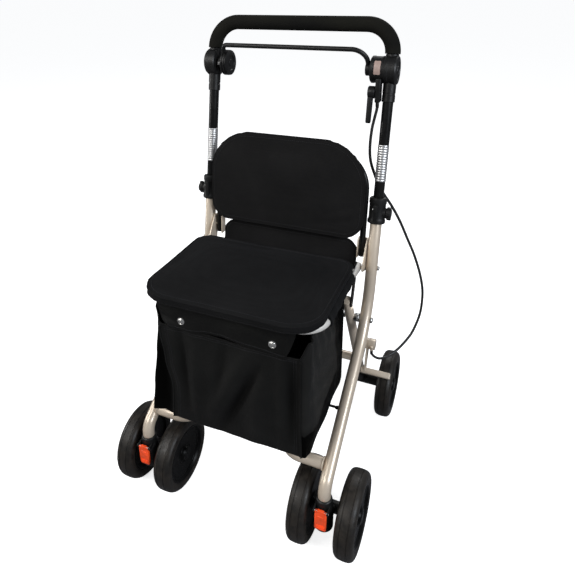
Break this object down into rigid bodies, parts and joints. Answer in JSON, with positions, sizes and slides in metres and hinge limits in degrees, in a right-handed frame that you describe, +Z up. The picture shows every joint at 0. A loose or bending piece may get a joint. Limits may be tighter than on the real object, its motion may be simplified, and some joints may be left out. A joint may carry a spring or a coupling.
{
  "type": "shopping rollator",
  "caption": "Shopping rollator with a padded seat and backrest, a shopping bag below the seat, and swivelling twin front wheels.",
  "frame": {"origin": "on the ground under the middle of the whole part's box. The brake cable bows out on the +X side, so the box's middle lies 13 mm to the +X side of the frame's centre plane", "axes": "+Z up, -Y to the front, the way the rollator is walked, and +X to the walking user's left"},
  "size_m": [0.5097, 0.501, 0.8972],
  "materials": {
    "beige_paint": "satin metallic champagne paint",
    "black_paint": "semi-gloss black paint",
    "silver_band": "ribbed satin silver",
    "steel": "plain",
    "black_plastic": "fine moulded grain",
    "foam": "soft foam with open pores",
    "tyre_rubber": "smooth grey foam rubber",
    "hub_plastic": "smooth",
    "orange_plastic": "smooth",
    "seat_fabric": "woven",
    "back_fabric": "woven",
    "bag_fabric": "woven, coated",
    "cable_sheath": "smooth sheath"
  },
  "bodies": {
    "frame": {"main_tube_left": "beige_paint", "main_tube_right": "beige_paint", "front_cross_tube": "beige_paint", "stem_bushing_left": "black_plastic", "stem_bushing_right": "black_plastic", "hinge_plate_left": "beige_paint", "hinge_plate_right": "beige_paint", "cross_bolt_left": "steel", "cross_bolt_right": "steel", "height_collar_left": "black_plastic", "height_collar_right": "black_plastic", "backrest_frame": "black_paint", "backrest_pad": "back_fabric", "rear_panel": "back_fabric", "bag": "bag_fabric", "bag_flap": "bag_fabric", "brake_cable": "cable_sheath"},
    "handle": {"handle_tube": "black_paint", "height_band_left": "silver_band", "height_band_right": "silver_band", "handle_foam": "foam", "brake_hub_left": "black_plastic", "brake_hub_right": "black_plastic"},
    "brake_bar": {"brake_bar": "black_plastic"},
    "parking_lever": {"parking_lever": "black_plastic"},
    "rear_frame": {"rear_leg_left": "beige_paint", "rear_leg_right": "beige_paint", "rear_cross_tube": "beige_paint", "axle_boss_left": "black_plastic", "axle_boss_right": "black_plastic", "brake_bracket_left": "beige_paint", "brake_bracket_right": "beige_paint"},
    "seat": {"seat_frame": "beige_paint", "seat_cushion": "seat_fabric"},
    "collar_knob_left": {"collar_knob_left": "black_plastic"},
    "caster_left": {"caster_housing_left": "black_plastic", "caster_axle_left": "steel"},
    "lock_lever_left": {"lock_lever_left": "orange_plastic"},
    "brake_arm_left": {"brake_arm_left": "beige_paint"},
    "fold_link_left": {"fold_link_left": "black_paint"},
    "rear_wheel_left": {"tyre_rear_left": "tyre_rubber", "hub_rear_left": "hub_plastic"},
    "caster_wheel_outer_left": {"tyre_outer_left": "tyre_rubber", "hub_outer_left": "hub_plastic"},
    "caster_wheel_inner_left": {"tyre_inner_left": "tyre_rubber", "hub_inner_left": "hub_plastic"},
    "collar_knob_right": {"collar_knob_right": "black_plastic"},
    "caster_right": {"caster_housing_right": "black_plastic", "caster_axle_right": "steel"},
    "lock_lever_right": {"lock_lever_right": "orange_plastic"},
    "brake_arm_right": {"brake_arm_right": "beige_paint"},
    "fold_link_right": {"fold_link_right": "black_paint"},
    "rear_wheel_right": {"tyre_rear_right": "tyre_rubber", "hub_rear_right": "hub_plastic"},
    "caster_wheel_outer_right": {"tyre_outer_right": "tyre_rubber", "hub_outer_right": "hub_plastic"},
    "caster_wheel_inner_right": {"tyre_inner_right": "tyre_rubber", "hub_inner_right": "hub_plastic"}
  },
  "joints": [
    {"name": "handle_height", "type": "slide", "parent": "frame", "child": "handle", "axis": [0, 0.1857, 0.9826], "range_m": [-0.032, 0.058], "deforming": ["brake_cable"]},
    {"name": "brake_bar", "type": "hinge", "parent": "handle", "child": "brake_bar", "pos_m": [-0.013, 0.14006, 0.806], "axis": [-1, 0, 0], "range_deg": [0, 22], "stiffness_Nm_per_rad": 1.5},
    {"name": "parking_lever", "type": "hinge", "parent": "handle", "child": "parking_lever", "pos_m": [0.145, 0.12146, 0.768], "axis": [-1, 0, 0], "range_deg": [0, 35]},
    {"name": "rear_fold", "type": "hinge", "parent": "frame", "child": "rear_frame", "pos_m": [-0.013, 0.03552, 0.339], "axis": [-1, 0, 0], "range_deg": [0, 28], "deforming": ["brake_cable"]},
    {"name": "seat_lift", "type": "hinge", "parent": "frame", "child": "seat", "pos_m": [-0.013, 0.0505, 0.444], "axis": [-1, 0, 0], "range_deg": [0, 52]},
    {"name": "collar_knob_left", "type": "hinge", "parent": "frame", "child": "collar_knob_left", "pos_m": [0.1843, 0.09094, 0.546], "axis": [1, 0, 0], "range_deg": [0, 180]},
    {"name": "caster_swivel_left", "type": "hinge", "parent": "frame", "child": "caster_left", "pos_m": [0.167, -0.2115, 0.139], "axis": [0, 0, 1], "continuous": true},
    {"name": "lock_lever_left", "type": "hinge", "parent": "caster_left", "child": "lock_lever_left", "pos_m": [0.167, -0.23105, 0.12525], "axis": [-1, 0, 0], "range_deg": [0, 20]},
    {"name": "caster_wheel_outer_left", "type": "hinge", "parent": "caster_left", "child": "caster_wheel_outer_left", "pos_m": [0.21, -0.1755, 0.075], "axis": [-1, 0, 0], "continuous": true},
    {"name": "caster_wheel_inner_left", "type": "hinge", "parent": "caster_left", "child": "caster_wheel_inner_left", "pos_m": [0.124, -0.1755, 0.075], "axis": [-1, 0, 0], "continuous": true},
    {"name": "rear_wheel_left", "type": "hinge", "parent": "rear_frame", "child": "rear_wheel_left", "pos_m": [0.199, 0.1755, 0.075], "axis": [-1, 0, 0], "continuous": true},
    {"name": "brake_arm_left", "type": "hinge", "parent": "rear_frame", "child": "brake_arm_left", "pos_m": [0.1538, 0.1385, 0.203], "axis": [1, 0, 0], "range_deg": [0, 5.4]},
    {"name": "fold_link_left", "type": "hinge", "parent": "rear_frame", "child": "fold_link_left", "pos_m": [0.1432, 0.0107, 0.38583], "axis": [1, 0, 0], "range_deg": [0, 36]},
    {"name": "collar_knob_right", "type": "hinge", "parent": "frame", "child": "collar_knob_right", "pos_m": [-0.2103, 0.09094, 0.546], "axis": [-1, 0, 0], "range_deg": [0, 180]},
    {"name": "caster_swivel_right", "type": "hinge", "parent": "frame", "child": "caster_right", "pos_m": [-0.193, -0.2115, 0.139], "axis": [0, 0, 1], "continuous": true},
    {"name": "lock_lever_right", "type": "hinge", "parent": "caster_right", "child": "lock_lever_right", "pos_m": [-0.193, -0.23105, 0.12525], "axis": [-1, 0, 0], "range_deg": [0, 20]},
    {"name": "caster_wheel_outer_right", "type": "hinge", "parent": "caster_right", "child": "caster_wheel_outer_right", "pos_m": [-0.236, -0.1755, 0.075], "axis": [-1, 0, 0], "continuous": true},
    {"name": "caster_wheel_inner_right", "type": "hinge", "parent": "caster_right", "child": "caster_wheel_inner_right", "pos_m": [-0.15, -0.1755, 0.075], "axis": [-1, 0, 0], "continuous": true},
    {"name": "rear_wheel_right", "type": "hinge", "parent": "rear_frame", "child": "rear_wheel_right", "pos_m": [-0.225, 0.1755, 0.075], "axis": [-1, 0, 0], "continuous": true},
    {"name": "brake_arm_right", "type": "hinge", "parent": "rear_frame", "child": "brake_arm_right", "pos_m": [-0.1798, 0.1385, 0.203], "axis": [1, 0, 0], "range_deg": [0, 5.4]},
    {"name": "fold_link_right", "type": "hinge", "parent": "rear_frame", "child": "fold_link_right", "pos_m": [-0.1692, 0.0107, 0.38583], "axis": [1, 0, 0], "range_deg": [0, 36]}
  ],
  "couplings": [
    {"joint": "seat_lift", "follows": "rear_fold", "ratio": 1.855},
    {"joint": "brake_arm_left", "follows": "brake_bar", "ratio": 0.245},
    {"joint": "fold_link_left", "follows": "rear_fold", "ratio": 1.283},
    {"joint": "brake_arm_right", "follows": "brake_bar", "ratio": 0.245},
    {"joint": "fold_link_right", "follows": "rear_fold", "ratio": 1.283}
  ]
}
